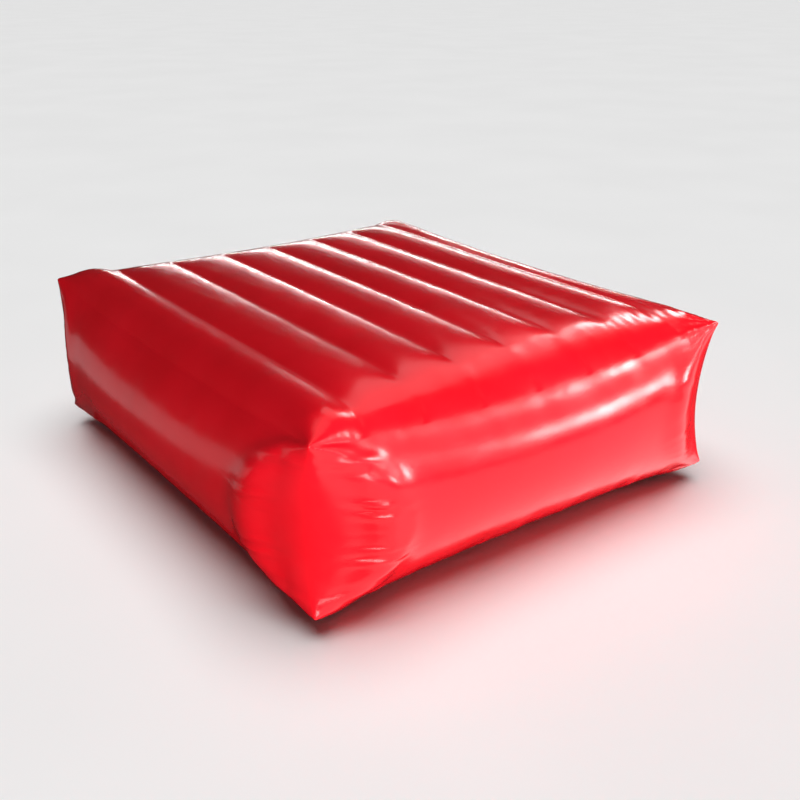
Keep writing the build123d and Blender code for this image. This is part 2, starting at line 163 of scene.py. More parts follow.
def cloth_grid():
    """The closed cloth as vertices, quads and the pairs of vertices that the webs tie."""
    lines_x = graded(
        [-cut[0] / 2, *cut_groove, cut[0] / 2],
        [EDGE_CELLS] + [LOBE_CELLS] * (BAFFLES - 1) + [EDGE_CELLS],
    )
    lines_y = graded(
        [-cut[1] / 2, -cut_web_end, cut_web_end, cut[1] / 2], [END_CELLS, LENGTH_CELLS, END_CELLS]
    )
    lines_z = graded([0, cut[2]], [HEIGHT_CELLS])
    nx, ny, nz = len(lines_x) - 1, len(lines_y) - 1, len(lines_z) - 1
    numbers = {}
    points = []

    def at(i, j, k):
        if (i, j, k) not in numbers:
            numbers[i, j, k] = len(points)
            points.append((lines_x[i], lines_y[j], lines_z[k]))
        return numbers[i, j, k]

    quads = []
    for i in range(nx):
        for j in range(ny):
            quads.append((at(i, j, nz), at(i + 1, j, nz), at(i + 1, j + 1, nz), at(i, j + 1, nz)))
            quads.append((at(i, j, 0), at(i, j + 1, 0), at(i + 1, j + 1, 0), at(i + 1, j, 0)))
        for k in range(nz):
            quads.append((at(i, 0, k), at(i + 1, 0, k), at(i + 1, 0, k + 1), at(i, 0, k + 1)))
            quads.append((at(i, ny, k), at(i, ny, k + 1), at(i + 1, ny, k + 1), at(i + 1, ny, k)))
    for j in range(ny):
        for k in range(nz):
            quads.append((at(0, j, k), at(0, j, k + 1), at(0, j + 1, k + 1), at(0, j + 1, k)))
            quads.append((at(nx, j, k), at(nx, j + 1, k), at(nx, j + 1, k + 1), at(nx, j, k + 1)))
    ties = [
        (at(EDGE_CELLS + LOBE_CELLS * groove, j, 0), at(EDGE_CELLS + LOBE_CELLS * groove, j, nz))
        for groove in range(BAFFLES)
        for j in range(END_CELLS, END_CELLS + LENGTH_CELLS + 1)
    ]
    return np.array(points), quads, ties


def inflated(points, quads, ties):
    """The cloth's vertices after the air is in: webs are slack edges, longer than the sides."""
    start = cut_shape(points) + np.random.default_rng(SEED).normal(0, UNEVEN, points.shape)
    middles = []
    edges = []
    per_web = len(ties) // BAFFLES
    for count, (bottom, top) in enumerate(ties):
        middle = len(points) + count
        web_height = WEB_SHARE[count // per_web] * size[2]
        slack = sqrt(web_height**2 - cut[2] ** 2) / 2
        bow = slack if count % 2 else -slack
        middles.append((points[bottom] + points[top]) / 2 + np.array([bow, 0, 0]))
        edges += [(bottom, middle), (middle, top)]
    mesh = bpy.data.meshes.new("cloth")
    mesh.from_pydata(np.vstack([start, middles]).tolist(), edges, quads)
    cloth = bpy.data.objects.new("cloth", mesh)
    scene.collection.objects.link(cloth)
    modifier = cloth.modifiers.new("cloth", "CLOTH")
    fabric = modifier.settings
    fabric.quality = 6
    fabric.mass = 0.01
    fabric.air_damping = 2.0
    fabric.tension_stiffness = 300.0
    fabric.compression_stiffness = 5.0
    fabric.shear_stiffness = 60.0
    fabric.bending_stiffness = 0.02
    fabric.bending_damping = 0.5
    fabric.use_pressure = True
    fabric.uniform_pressure_force = PRESSURE
    fabric.effector_weights.gravity = 0
    modifier.collision_settings.use_collision = False
    modifier.point_cache.frame_end = STEPS
    for step in range(1, STEPS + 1):
        scene.frame_set(step)
    result = cloth.evaluated_get(bpy.context.evaluated_depsgraph_get()).to_mesh()
    places = np.empty(3 * len(result.vertices), np.float32)
    result.vertices.foreach_get("co", places)
    bpy.data.objects.remove(cloth)
    scene.frame_set(1)
    return places.reshape(-1, 3)[: len(points)].astype(float)


def fitted(places):
    """Scaled to the CAD's size, and pressed flat where it stands on the floor."""
    lowest, highest = places.min(axis=0), places.max(axis=0)
    base = np.array([skin_low[0], skin_low[1], skin_low[2] - PRESSED])
    places = base + (places - lowest) * (skin_high - base) / (highest - lowest)
    places[:, 2] = np.maximum(places[:, 2], skin_low[2])
    return places


def smoother(places, quads, flat):
    """The cloth subdivided once: vertices, quads and the flat places that they come from."""
    mesh = bpy.data.meshes.new("fine")
    mesh.from_pydata(places.tolist(), [], quads)
    kept = mesh.attributes.new("flat", "FLOAT_VECTOR", "POINT")
    kept.data.foreach_set("vector", flat.astype(np.float32).ravel())
    holder = bpy.data.objects.new("fine", mesh)
    scene.collection.objects.link(holder)
    modifier = holder.modifiers.new("fine", "SUBSURF")
    modifier.levels = 1
    modifier.boundary_smooth = "ALL"
    fine = holder.evaluated_get(bpy.context.evaluated_depsgraph_get()).to_mesh()
    count = len(fine.vertices)
    new_places = np.empty(3 * count, np.float32)
    fine.vertices.foreach_get("co", new_places)
    new_flat = np.empty(3 * count, np.float32)
    fine.attributes["flat"].data.foreach_get("vector", new_flat)
    corners = np.empty(4 * len(fine.polygons), np.int32)
    fine.polygons.foreach_get("vertices", corners)
    bpy.data.objects.remove(holder)
    shape = (-1, 3)
    return (
        new_places.reshape(shape).astype(float),
        corners.reshape(-1, 4),
        new_flat.reshape(shape).astype(float),
    )


def vertex_normals(places, quads):
    """Unit normals, from the quads about each vertex."""
    a, b, c, d = (places[quads[:, i]] for i in range(4))
    faces = np.cross(c - a, d - b)
    normals = np.zeros_like(places)
    for i in range(4):
        np.add.at(normals, quads[:, i], faces)
    return normals / np.maximum(np.linalg.norm(normals, axis=1, keepdims=True), 1e-12)


# The cloth turns the upright corners and the top seams without a fold
TURN_REACH = 0.2
TURN_ROUNDS = 140
SEAM_REACH = 0.1
SEAM_SHARE = 0.15
EAR_KEPT = 0.1  # about each top corner, where the fabric stays pointed
EAR_EASED = 0.25
EAR_SHARE = 0.6
RELAXED = 0.5  # share of the way to its neighbours that a vertex moves in a round


def turned_corners(places, quads, flat):
    """The skin relaxed about the upright corners, most at mid height, and along the top seams."""
    to_side, to_end = from_edges(flat)
    height = flat[:, 2] / cut[2]
    share = np.clip(1 - (np.maximum(to_side, to_end) / TURN_REACH) ** 2, 0, 1)
    share *= np.clip(4 * height * (1 - height), 0, 1) ** 0.5
    to_top = cut[2] - flat[:, 2]
    to_seam = np.minimum(to_side, to_end) + to_top
    to_ear = np.sqrt(to_side**2 + to_end**2 + to_top**2)
    soft = SEAM_SHARE * bell(to_seam, SEAM_REACH) + EAR_SHARE * bell(to_ear, EAR_EASED)
    share = np.maximum(share, soft * np.clip(to_ear / EAR_KEPT, 0, 1) ** 2)
    edges = np.vstack([quads[:, [i, (i + 1) % 4]] for i in range(4)])
    count = np.bincount(edges[:, 0], minlength=len(places)).astype(float)
    for _ in range(TURN_ROUNDS):
        mean = [
            np.bincount(edges[:, 0], places[edges[:, 1], axis], len(places)) / count
            for axis in range(3)
        ]
        places = places + RELAXED * share[:, None] * (np.stack(mean, axis=1) - places)
    return places


# Creases that the cells are too coarse for, and the swells that a light fabric takes up:
# each has a depth, a wave or a width, a place from an edge, and a reach over which it fades
EAR_FOLDS = 22.0  # folds per radian about a corner of a sheet
EAR_WANDER = 2.0
EAR_WANDERS = 3  # turns of the wander per radian
EAR_REACH = 0.16
EAR_FADE = (0.5, 1.6)
EAR_DEPTH = 2.6 * MM
EAR_SHARES = {(-1, -1): 0.1, (1, -1): 1.0, (-1, 1): 0.4, (1, 1): 0.5}  # by corner
GATHER_WAVE = 44 * MM
GATHER_DEPTH = 2.4 * MM
GATHER_PLACE = 0.17  # in from the end seam
GATHER_REACH = 0.075
GATHER_START = 0.3  # share of the half width, outwards from which they grow
GATHER_GROWTH = 1.5
GATHER_WANDER = 1.8
GATHER_SWAY = (11, 14)  # across the mat, and along it
RIDGE_PLACE = 0.25  # from an upright corner, at mid height
RIDGE_REACH = 0.065
RIDGE_ROUND = 0.6
RIDGE_DEPTH = 24 * MM
RIDGE_SHARES = {(-1, -1): 1.0, (1, -1): 0.6, (-1, 1): 0.4, (1, 1): 0.45}  # by corner
ROW_DEPTH = 5.6 * MM
ROW_SHARES = {(-1, -1): 1.0, (1, -1): 0.35, (-1, 1): 0.15, (1, 1): 0.3}  # by corner
ROW_SLANT = 0.2
ROW_SLANT_TURN = 7
ROW_UNEVEN = 0.4
ROW_UNEVEN_TURN = 23
ROW_INSIDE = 0.03  # from the edge, towards the corner
ROW_REACH = 0.085
ROW_WAVES = (50 * MM, 34 * MM)
BOLSTER_DEPTH = (22 * MM, 12 * MM)  # extra swell of the outermost lobes, left and right
STREAK_WAVE = 31 * MM
STREAK_WANDER = 1.5
STREAK_SWAY = 4
STREAK_DEPTH = 0.8 * MM
STREAK_SHARES = (0.35, 1.0)  # left and right
TAIL_LENGTH = 0.1
TAIL_SPREAD = 0.05  # how far each tail leans outwards, for each lobe from the middle
TAIL_TAPER = 0.7
TAIL_WIDTH = 9 * MM
TAIL_DEPTH = 3.0 * MM
PUCKER_WAVE = 70 * MM
PUCKER_WANDER = 3
PUCKER_SWAY = 9
PUCKER_REACH = 30 * MM
PUCKER_DEPTH = 0.1 * MM


def by_corner(shares, flat):
    """Each point's share, by the corner of the mat that it is nearest."""
    side, end = np.sign(flat[:, 0]), np.sign(flat[:, 1])
    return sum(share * (side == x) * (end == y) for (x, y), share in shares.items())


def sheet_creases(flat, to_side, to_end):
    """Creases of the top and bottom sheets."""
    half = cut / 2
    side, end = np.sign(flat[:, 0]), np.sign(flat[:, 1])
    # Folds that fan out from the corners, and gathers across the shoulder beside them
    share = by_corner(EAR_SHARES, flat)
    reach = np.hypot(to_side, to_end) / EAR_REACH
    angle = np.arctan2(to_end, to_side)
    fan = np.sin(EAR_FOLDS * angle + EAR_WANDER * np.sin(EAR_WANDERS * angle + side) + 2 * end)
    out = EAR_DEPTH * share * fan * reach * np.exp(EAR_FADE[0] - EAR_FADE[1] * reach**2)
    outwards = np.clip((abs(flat[:, 0]) / half[0] - GATHER_START) / (1 - GATHER_START), 0, 1)
    sway = np.sin(GATHER_SWAY[0] * flat[:, 0] + GATHER_SWAY[1] * to_end)
    phase = 2 * pi * flat[:, 0] / GATHER_WAVE + GATHER_WANDER * sway
    gathers = np.sin(phase) * outwards**GATHER_GROWTH * bell(to_end - GATHER_PLACE, GATHER_REACH)
    out += GATHER_DEPTH * share * gathers
    # The outermost lobes swell, with fine streaks along them
    across = np.clip(to_side / (half[0] - cut_groove[-1]), 0, 1)
    lengthwise = np.clip(to_end / (half[1] - cut_web_end), 0, 1)
    swell = np.where(side < 0, BOLSTER_DEPTH[0], BOLSTER_DEPTH[1])
    out += swell * np.sin(pi * across) * lengthwise
    sway = STREAK_WANDER * np.sin(STREAK_SWAY * flat[:, 1])
    streaks = np.sin(2 * pi * to_side / STREAK_WAVE + sway + side)
    share = np.where(side > 0, STREAK_SHARES[1], STREAK_SHARES[0])
    out += STREAK_DEPTH * streaks * np.sin(pi * across) * share
    # Grooves that run out in a fine crease beyond each web's ends
    beyond = (abs(flat[:, 1]) - cut_web_end) / TAIL_LENGTH
    ramp = np.maximum(0, 1 - abs(2 * beyond - 1)) ** TAIL_TAPER
    for number, x in enumerate(cut_groove):
        bent = x + TAIL_SPREAD * np.maximum(beyond, 0) * TAIL_LENGTH * (number - BAFFLES // 2)
        out -= TAIL_DEPTH * bell(flat[:, 0] - bent, TAIL_WIDTH) * ramp
    return out


def wall_creases(flat, to_side, to_end):
    """Creases of the side panels: a lens down each upright corner, creased at its edges."""
    along = np.maximum(to_side, to_end)
    height = flat[:, 2] / cut[2]
    tall = np.maximum(4 * height * (1 - height), 0)
    edge = along - RIDGE_PLACE * tall**RIDGE_ROUND
    quadrant = np.sign(flat[:, 0]) + 2 * np.sign(flat[:, 1])
    slant = ROW_SLANT * along * np.sin(ROW_SLANT_TURN * height + quadrant)
    rows = sum(
        np.sin(2 * pi * (flat[:, 2] + slant) / wave + quadrant * order) / order
        for order, wave in enumerate(ROW_WAVES, start=1)
    )
    uneven = np.sin(ROW_UNEVEN_TURN * height + 2 * quadrant)
    rows = rows * (1 - ROW_UNEVEN + ROW_UNEVEN * uneven)
    ridge = RIDGE_DEPTH * by_corner(RIDGE_SHARES, flat) * bell(edge, RIDGE_REACH) * tall**0.5
    rows *= ROW_DEPTH * by_corner(ROW_SHARES, flat) * tall
    rows *= bell(edge + ROW_INSIDE, ROW_REACH)
    return ridge + rows


def creases(flat):
    """How far each point of the skin is moved out along its normal."""
    to_side, to_end = from_edges(flat)
    to_sheet = np.minimum(cut[2] - flat[:, 2], flat[:, 2])
    on_wall = np.minimum(to_side, to_end) < MM
    out = np.where(
        on_wall, wall_creases(flat, to_side, to_end), sheet_creases(flat, to_side, to_end)
    )
    way = np.where(to_side < to_end, flat[:, 1], flat[:, 0])
    depth = np.where(on_wall, to_sheet, np.minimum(to_side, to_end))
    pucker = np.sin(2 * pi * way / PUCKER_WAVE + PUCKER_WANDER * np.sin(way * PUCKER_SWAY))
    return out + PUCKER_DEPTH * pucker * bell(depth, PUCKER_REACH)


# Fitting the back panel to the valve
HOLE = 25 * MM
SEATED = 55 * MM
EASED = 170 * MM


def seated(places):
    """The back panel eased on to the CAD's round face about the valve."""
    half_height = (seam_top - seam_bottom) / 2
    bulge = skin_high[1] - seam_y
    radius = (half_height**2 + bulge**2) / (2 * bulge)
    rise = places[:, 2] - (seam_top + seam_bottom) / 2
    face = skin_high[1] - radius + np.sqrt(np.maximum(radius**2 - rise**2, 0))
    away = np.linalg.norm(places - valve_at, axis=1)
    share = np.clip((EASED - away) / (EASED - SEATED), 0, 1)
    share = share**2 * (3 - 2 * share) * (places[:, 1] > 0)
    places[:, 1] += share * (face - places[:, 1])
    return places


# Procedural materials
NOISE_SPAN = (0.3, 0.7)  # what most of a noise lies between
TINT_SPAN = (0.35, 0.65)
BANDS_PER_SCALE = 20  # of a wave texture, in a metre


def node_material(name, colour, roughness, **sockets):
    """A material with its Principled shader's plain values set, and that shader's tree."""
    material = bpy.data.materials.new(name)
    material.use_nodes = True
    tree = material.node_tree
    shader = tree.nodes["Principled BSDF"]
    shader.inputs["Base Color"].default_value = (*colour, 1)
    shader.inputs["Roughness"].default_value = roughness
    for socket, value in sockets.items():
        shader.inputs[socket.replace("_", " ")].default_value = value
    return material, tree, shader


def noise(tree, scale, detail=2.0, stretch=(1, 1, 1)):
    """Noise over the object's own coordinates."""
    place = tree.nodes.new("ShaderNodeTexCoord")
    mapping = tree.nodes.new("ShaderNodeMapping")
    mapping.inputs["Scale"].default_value = stretch
    texture = tree.nodes.new("ShaderNodeTexNoise")
    texture.inputs["Scale"].default_value = scale
    texture.inputs["Detail"].default_value = detail
    tree.links.new(place.outputs["Object"], mapping.inputs["Vector"])
    tree.links.new(mapping.outputs["Vector"], texture.inputs["Vector"])
    return texture.outputs["Fac"]


def scrim(tree, pitch):
    """The print of a plain weave, as bands crossing on the three main planes."""
    place = tree.nodes.new("ShaderNodeTexCoord")
    total = None
    for axis in "XYZ":
        band = tree.nodes.new("ShaderNodeTexWave")
        band.bands_direction = axis
        band.inputs["Scale"].default_value = 1 / (pitch * BANDS_PER_SCALE)
        tree.links.new(place.outputs["Object"], band.inputs["Vector"])
        if total is None:
            total = band.outputs["Fac"]
            continue
        adder = tree.nodes.new("ShaderNodeMath")
        adder.operation = "ADD"
        tree.links.new(total, adder.inputs[0])
        tree.links.new(band.outputs["Fac"], adder.inputs[1])
        total = adder.outputs[0]
    return total


def spread(tree, source, start, end):
    """A texture's 0 to 1 mapped on to start to end."""
    mapped = tree.nodes.new("ShaderNodeMapRange")
    mapped.inputs["From Min"].default_value = NOISE_SPAN[0]
    mapped.inputs["From Max"].default_value = NOISE_SPAN[1]
    mapped.inputs["To Min"].default_value = start
    mapped.inputs["To Max"].default_value = end
    tree.links.new(source, mapped.inputs["Value"])
    return mapped.outputs["Result"]


def tint(tree, shader, source, first, second):
    """The base colour runs from first to second with a texture."""
    ramp = tree.nodes.new("ShaderNodeValToRGB")
    ramp.color_ramp.elements[0].position = TINT_SPAN[0]
    ramp.color_ramp.elements[1].position = TINT_SPAN[1]
    ramp.color_ramp.elements[0].color = (*first, 1)
    ramp.color_ramp.elements[1].color = (*second, 1)
    tree.links.new(source, ramp.inputs["Fac"])
    tree.links.new(ramp.outputs["Color"], shader.inputs["Base Color"])


def bumps(tree, shader, layers):
    """Bumps one on another: (source, depth in metres) each."""
    normal = None
    for source, depth in layers:
        bump = tree.nodes.new("ShaderNodeBump")
        bump.inputs["Strength"].default_value = 1.0
        bump.inputs["Distance"].default_value = depth
        tree.links.new(source, bump.inputs["Height"])
        if normal is not None:
            tree.links.new(normal, bump.inputs["Normal"])
        normal = bump.outputs["Normal"]
    tree.links.new(normal, shader.inputs["Normal"])


def coated_fabric(name, deep, light, roughness, waviness):
    """Coated fabric: uneven gloss, slow waves and ripples, and the weave showing through."""
    material, tree, shader = node_material(name, light, roughness, IOR=1.4)
    tint(tree, shader, noise(tree, scale=2.5, detail=4.0), deep, light)
    gloss = spread(tree, noise(tree, scale=14.0, detail=3.0), roughness * 0.8, roughness * 1.25)
    tree.links.new(gloss, shader.inputs["Roughness"])
    bumps(
        tree,
        shader,
        [
            (noise(tree, scale=7.0), waviness),
            (noise(tree, scale=26.0, detail=3.0, stretch=(1.0, 0.45, 1.6)), waviness * 0.22),
            (scrim(tree, pitch=1.4 * MM), 0.006 * MM),
        ],
    )
    return material


def moulded(name, colour, roughness, grain):
    """Moulded plastic or rubber: fine grain, and a rubbed, uneven surface."""
    material, tree, shader = node_material(name, colour, roughness)
    rubbed = tuple(min(1.0, c * 1.5 + 0.01) for c in colour)
    tint(tree, shader, noise(tree, scale=60.0, detail=5.0), colour, rubbed)
    gloss = spread(tree, noise(tree, scale=220.0, detail=3.0), roughness * 0.85, roughness * 1.2)
    tree.links.new(gloss, shader.inputs["Roughness"])
    bumps(tree, shader, [(noise(tree, scale=900.0), grain)])
    return material


def drawn_steel(name):
    """Spring wire, with fine lines from drawing."""
    material, tree, shader = node_material(name, (0.55, 0.56, 0.58), 0.28, Metallic=1.0)
    lines = noise(tree, scale=400.0, stretch=(1.0, 0.1, 1.0))
    tint(tree, shader, lines, (0.48, 0.49, 0.51), (0.62, 0.63, 0.65))
    bumps(tree, shader, [(lines, 0.01 * MM)])
    return material


RED_DEEP = (0.42, 0.002, 0.006)
RED_LIGHT = (0.50, 0.003, 0.009)
materials = {
    "mat_fabric": coated_fabric(
        "mat_fabric", RED_DEEP, RED_LIGHT, roughness=0.2, waviness=1.3 * MM
    ),
    "baffle_fabric": coated_fabric(
        "baffle_fabric",
        deep=(0.58, 0.56, 0.51),
        light=(0.66, 0.64, 0.60),
        roughness=0.5,
        waviness=0.8 * MM,
    ),
    "tape_fabric": coated_fabric(
        "tape_fabric",
        deep=(0.42, 0.004, 0.01),
        light=(0.52, 0.008, 0.015),
        roughness=0.3,
        waviness=0.4 * MM,
    ),
    "valve_plastic": moulded(
        "valve_plastic", colour=(0.035, 0.036, 0.04), roughness=0.38, grain=0.02 * MM
    ),
    "seal_rubber": moulded(
        "seal_rubber", colour=(0.018, 0.018, 0.019), roughness=0.62, grain=0.04 * MM
    ),
    "spring_steel": drawn_steel("spring_steel"),
}


def dress(obj, finish):
    """The object takes one of the materials."""
    obj.data.materials.clear()
    obj.data.materials.append(materials[finish])


# Making the pieces
points, quads, ties = cloth_grid()
blown = fitted(inflated(points, quads, ties))
places, quads, flat = smoother(blown, quads, points)
places = turned_corners(places, quads, flat)
normals = vertex_normals(places, quads)
places = places + normals * creases(flat)[:, None]
places = seated(places)
places[:, 2] = np.maximum(places[:, 2], skin_low[2])
places = np.clip(places, skin_low, skin_high)
normals = vertex_normals(places, quads)

centre = flat[quads].mean(axis=1)
from_side, from_end = from_edges(centre)
from_top = cut[2] - centre[:, 2]
from_floor = centre[:, 2]
SLIVER = 0.1 * MM
regions = {
    "top": from_top < SLIVER,
    "bottom": from_floor < SLIVER,
    "front": (from_end < SLIVER) & (centre[:, 1] < 0),
    "back": (from_end < SLIVER) & (centre[:, 1] > 0),
    "left": (from_side < SLIVER) & (centre[:, 0] < 0),
    "right": (from_side < SLIVER) & (centre[:, 0] > 0),
}
walls = regions["front"] | regions["back"] | regions["left"] | regions["right"]
quad_places = places[quads].mean(axis=1)
plug = (np.linalg.norm(quad_places - valve_at, axis=1) < HOLE) & regions["back"]


def patch(name, chosen, finish, nodes, out=0.0, thickness=0.0, body="mat"):
    """A piece from chosen quads of the skin, moved out, which stands for CAD nodes."""
    used, corners = np.unique(quads[chosen], return_inverse=True)
    corners = corners.reshape(-1, 4)
    shift = out[used][:, None] if isinstance(out, np.ndarray) else out
    mesh = bpy.data.meshes.new(name)
    mesh.from_pydata((places[used] + normals[used] * shift).tolist(), [], corners.tolist())
    mesh.polygons.foreach_set("use_smooth", [True] * len(mesh.polygons))
    piece = bpy.data.objects.new(name, mesh)
    scene.collection.objects.link(piece)
    if thickness:
        solid = piece.modifiers.new("thickness", "SOLIDIFY")
        solid.thickness = thickness
        solid.offset = 0
    else:
        mesh.normals_split_custom_set_from_vertices(normals[used].tolist())
    dress(piece, finish)
    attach(piece, body)
    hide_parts(*nodes)
    return piece


# The six panels: the top sheet laps over the side panels with a welded edge
lap = walls & (from_top < LAP)
rise = np.zeros(len(places))
rise[np.unique(quads[lap])] = LAP_RISE
for name, chosen, out in (("top", regions["top"] | lap, rise), ("bottom", regions["bottom"], 0.0)):
    sheet_piece = patch(f"{name}_sheet_skin", chosen, "mat_fabric", [f"{name}_sheet"], out)

for side in SIDES:
    panel = patch(f"{side}_panel_skin", regions[side] & ~plug, "mat_fabric", [f"{side}_panel"])

# Tapes along the seams, inside the skin
TAPE_REACH = 30 * MM
TAPE_END = 40 * MM
TAPE_THICKNESS = 1.2 * MM
half_cut = cut / 2
edge_to = {
    "front": half_cut[1] + centre[:, 1],
    "back": half_cut[1] - centre[:, 1],
    "left": half_cut[0] + centre[:, 0],
    "right": half_cut[0] - centre[:, 0],
}
for level, sheet_edge in (("top", from_top), ("bottom", from_floor)):
    for side in SIDES:
        along = from_side if side in ("front", "back") else from_end
        near = (edge_to[side] < TAPE_REACH) & (sheet_edge < TAPE_REACH) & (along > TAPE_END)
        near &= regions[level] | regions[side]
        seam = f"{level}_{side}_seam_tape"
        patch(f"{seam}_strip", near, "tape_fabric", [seam], -SUNK, TAPE_THICKNESS)

for end in ("front", "back"):
    for side in ("left", "right"):
        near = (edge_to[end] < TAPE_REACH) & (edge_to[side] < TAPE_REACH)
        near &= (regions[end] | regions[side]) & (np.minimum(from_top, from_floor) > TAPE_END)
        corner = f"{end}_{side}_corner_tape"
        patch(f"{corner}_strip", near, "tape_fabric", [corner], -SUNK, TAPE_THICKNESS)

# T tapes under the grooves, and webs between them
FLANGE = 22 * MM
LEG = 45 * MM
WEB_THICKNESS = 0.9 * MM
WEB_CORNER = 60 * MM
WEB_GAP = 5 * MM
WEB_ROWS = 12


def ribbon(name, rows, thickness, finish, node):
    """Makes a flat strip through rows of points, which stands for one CAD node."""
    count = len(rows[0])
    points = [point for row in rows for point in row]
    faces = [
        (r * count + i, r * count + i + 1, (r + 1) * count + i + 1, (r + 1) * count + i)
        for r in range(len(rows) - 1)
        for i in range(count - 1)
    ]
    mesh = bpy.data.meshes.new(name)
    mesh.from_pydata(points, [], faces)
    mesh.polygons.foreach_set("use_smooth", [True] * len(faces))
    piece = bpy.data.objects.new(name, mesh)
    scene.collection.objects.link(piece)
    solid = piece.modifiers.new("thickness", "SOLIDIFY")
    solid.thickness = thickness
    solid.offset = 0
    dress(piece, finish)
    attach(piece, "mat")
    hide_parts(node)


def groove_line(number, level):
    """The skin's points along one groove over its web, from front to back."""
    x = cut_groove[number - 1]
    z = cut[2] if level == "upper" else 0.0
    on_line = (abs(flat[:, 0] - x) < SLIVER) & (abs(flat[:, 2] - z) < SLIVER)
    on_line &= abs(flat[:, 1]) < cut_web_end + SLIVER
    chosen = np.flatnonzero(on_line)
    return places[chosen[np.argsort(flat[chosen, 1])]]


for number in NUMBERS:
    lines = {level: groove_line(number, level) for level in ("upper", "lower")}
    for level, sign in (("upper", 1), ("lower", -1)):
        near = (abs(centre[:, 0] - cut_groove[number - 1]) < FLANGE) & (
            abs(centre[:, 1]) < cut_web_end
        )
        near &= regions["top" if level == "upper" else "bottom"]
        tape = f"{level}_t_tape_{number}"
        patch(f"{tape}_strip", near, "tape_fabric", [tape], -SUNK, TAPE_THICKNESS)
        root = lines[level] - np.array([0, 0, sign * SUNK])
        leg_rows = [(root - np.array([0, 0, sign * drop])).tolist() for drop in (0, LEG / 2, LEG)]
        ribbon(f"{tape}_leg", leg_rows, TAPE_THICKNESS, "tape_fabric", tape)
    top_line, bottom_line = lines["upper"], lines["lower"]
    to_web_end = abs(abs(top_line[:, 1]) - abs(top_line[:, 1]).max())
    inset = np.maximum(WEB_CORNER - to_web_end, 0)
    trim = WEB_GAP + WEB_CORNER - np.sqrt(np.maximum(WEB_CORNER**2 - inset**2, 0))
    aside = np.array([TAPE_THICKNESS, 0, 0])
    upper = top_line - np.outer(trim, [0, 0, 1]) + aside
    lower = bottom_line + np.outer(trim, [0, 0, 1]) + aside
    web_rows = [
        (lower + (upper - lower) * share).tolist() for share in np.linspace(0, 1, WEB_ROWS)
    ]
    web = f"baffle_web_{number}"
    ribbon(f"{web}_sheet", web_rows, WEB_THICKNESS, "baffle_fabric", web)

# The valve keeps its CAD parts, apart from the two that change shape
FINISH = {
    "valve_outer_washer": "seal_rubber",
    "valve_inner_washer": "seal_rubber",
    "valve_body": "valve_plastic",
    "valve_nut": "valve_plastic",
    "valve_stem_guide": "valve_plastic",
    "valve_stem": "valve_plastic",
    "valve_seal": "seal_rubber",
    "valve_cap": "valve_plastic",
    "valve_cap_seal": "seal_rubber",
}
for node, finish in FINISH.items():
    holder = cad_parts[node]
    holder.data.materials.clear()
    holder.data.materials.append(materials[finish])


BEND_LENGTH = 2.5 * MM
DIVIDING_ROUNDS = 5
MERGED = 0.001 * MM


def copied(node, name, longest, finish):
    """A new piece with a CAD node's shape, its long edges divided so that it can bend."""
    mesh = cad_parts[node].data.copy()
    mesh.name = name
    shape = bmesh.new()
    shape.from_mesh(mesh)
    bmesh.ops.remove_doubles(shape, verts=shape.verts, dist=MERGED)
    for _ in range(DIVIDING_ROUNDS):
        long_edges = [edge for edge in shape.edges if edge.calc_length() > longest]
        if not long_edges:
            break
        bmesh.ops.subdivide_edges(shape, edges=long_edges, cuts=1)
        bmesh.ops.triangulate(shape, faces=[f for f in shape.faces if len(f.verts) > 4])
    shape.to_mesh(mesh)
    shape.free()
    piece = bpy.data.objects.new(name, mesh)
    scene.collection.objects.link(piece)
    dress(piece, finish)
    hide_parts(node)
    return piece


tether = copied("valve_cap_tether", "cap_tether_strap", BEND_LENGTH, "seal_rubber")
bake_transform(tether)
spring = copied("valve_spring", "poppet_spring_coil", BEND_LENGTH, "spring_steel")
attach(spring, "mat")
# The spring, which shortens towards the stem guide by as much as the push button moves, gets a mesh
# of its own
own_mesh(spring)

# Floor, light and camera
FLOOR_SPAN = 300.0
WORLD_STRENGTH = 0.04
SKY_SPREAD = radians(60)


def square(name, span, height):
    """A level square, such as a floor."""
    reach = span / 2
    turns = ((-1, -1), (1, -1), (1, 1), (-1, 1))
    mesh = bpy.data.meshes.new(name)
    mesh.from_pydata([(x * reach, y * reach, height) for x, y in turns], [], [(0, 1, 2, 3)])
    obj = bpy.data.objects.new(name, mesh)
    scene.collection.objects.link(obj)
    return obj


floor = square("studio_floor", FLOOR_SPAN, skin_low[2])
floor_material, floor_tree, floor_shader = node_material("floor", (0.86, 0.86, 0.86), 0.7)
tint(floor_tree, floor_shader, noise(floor_tree, scale=0.8), (0.85, 0.85, 0.85), (0.87, 0.87, 0.87))
floor.data.materials.append(floor_material)
floor.visible_glossy = False  # low panels, set below, take its place in the mat's gloss

# A dark square under the floor, painted shadow for the floor's shaded part under the mat, which the
# gloss of the underside shows
SHADE_SPAN = 1.8
SHADE_DEPTH = 2 * MM
shade = square("studio_floor_shade", SHADE_SPAN, skin_low[2] - SHADE_DEPTH)
shade.data.materials.append(node_material("floor_shade", (0.05, 0.01, 0.01), 0.8)[0])

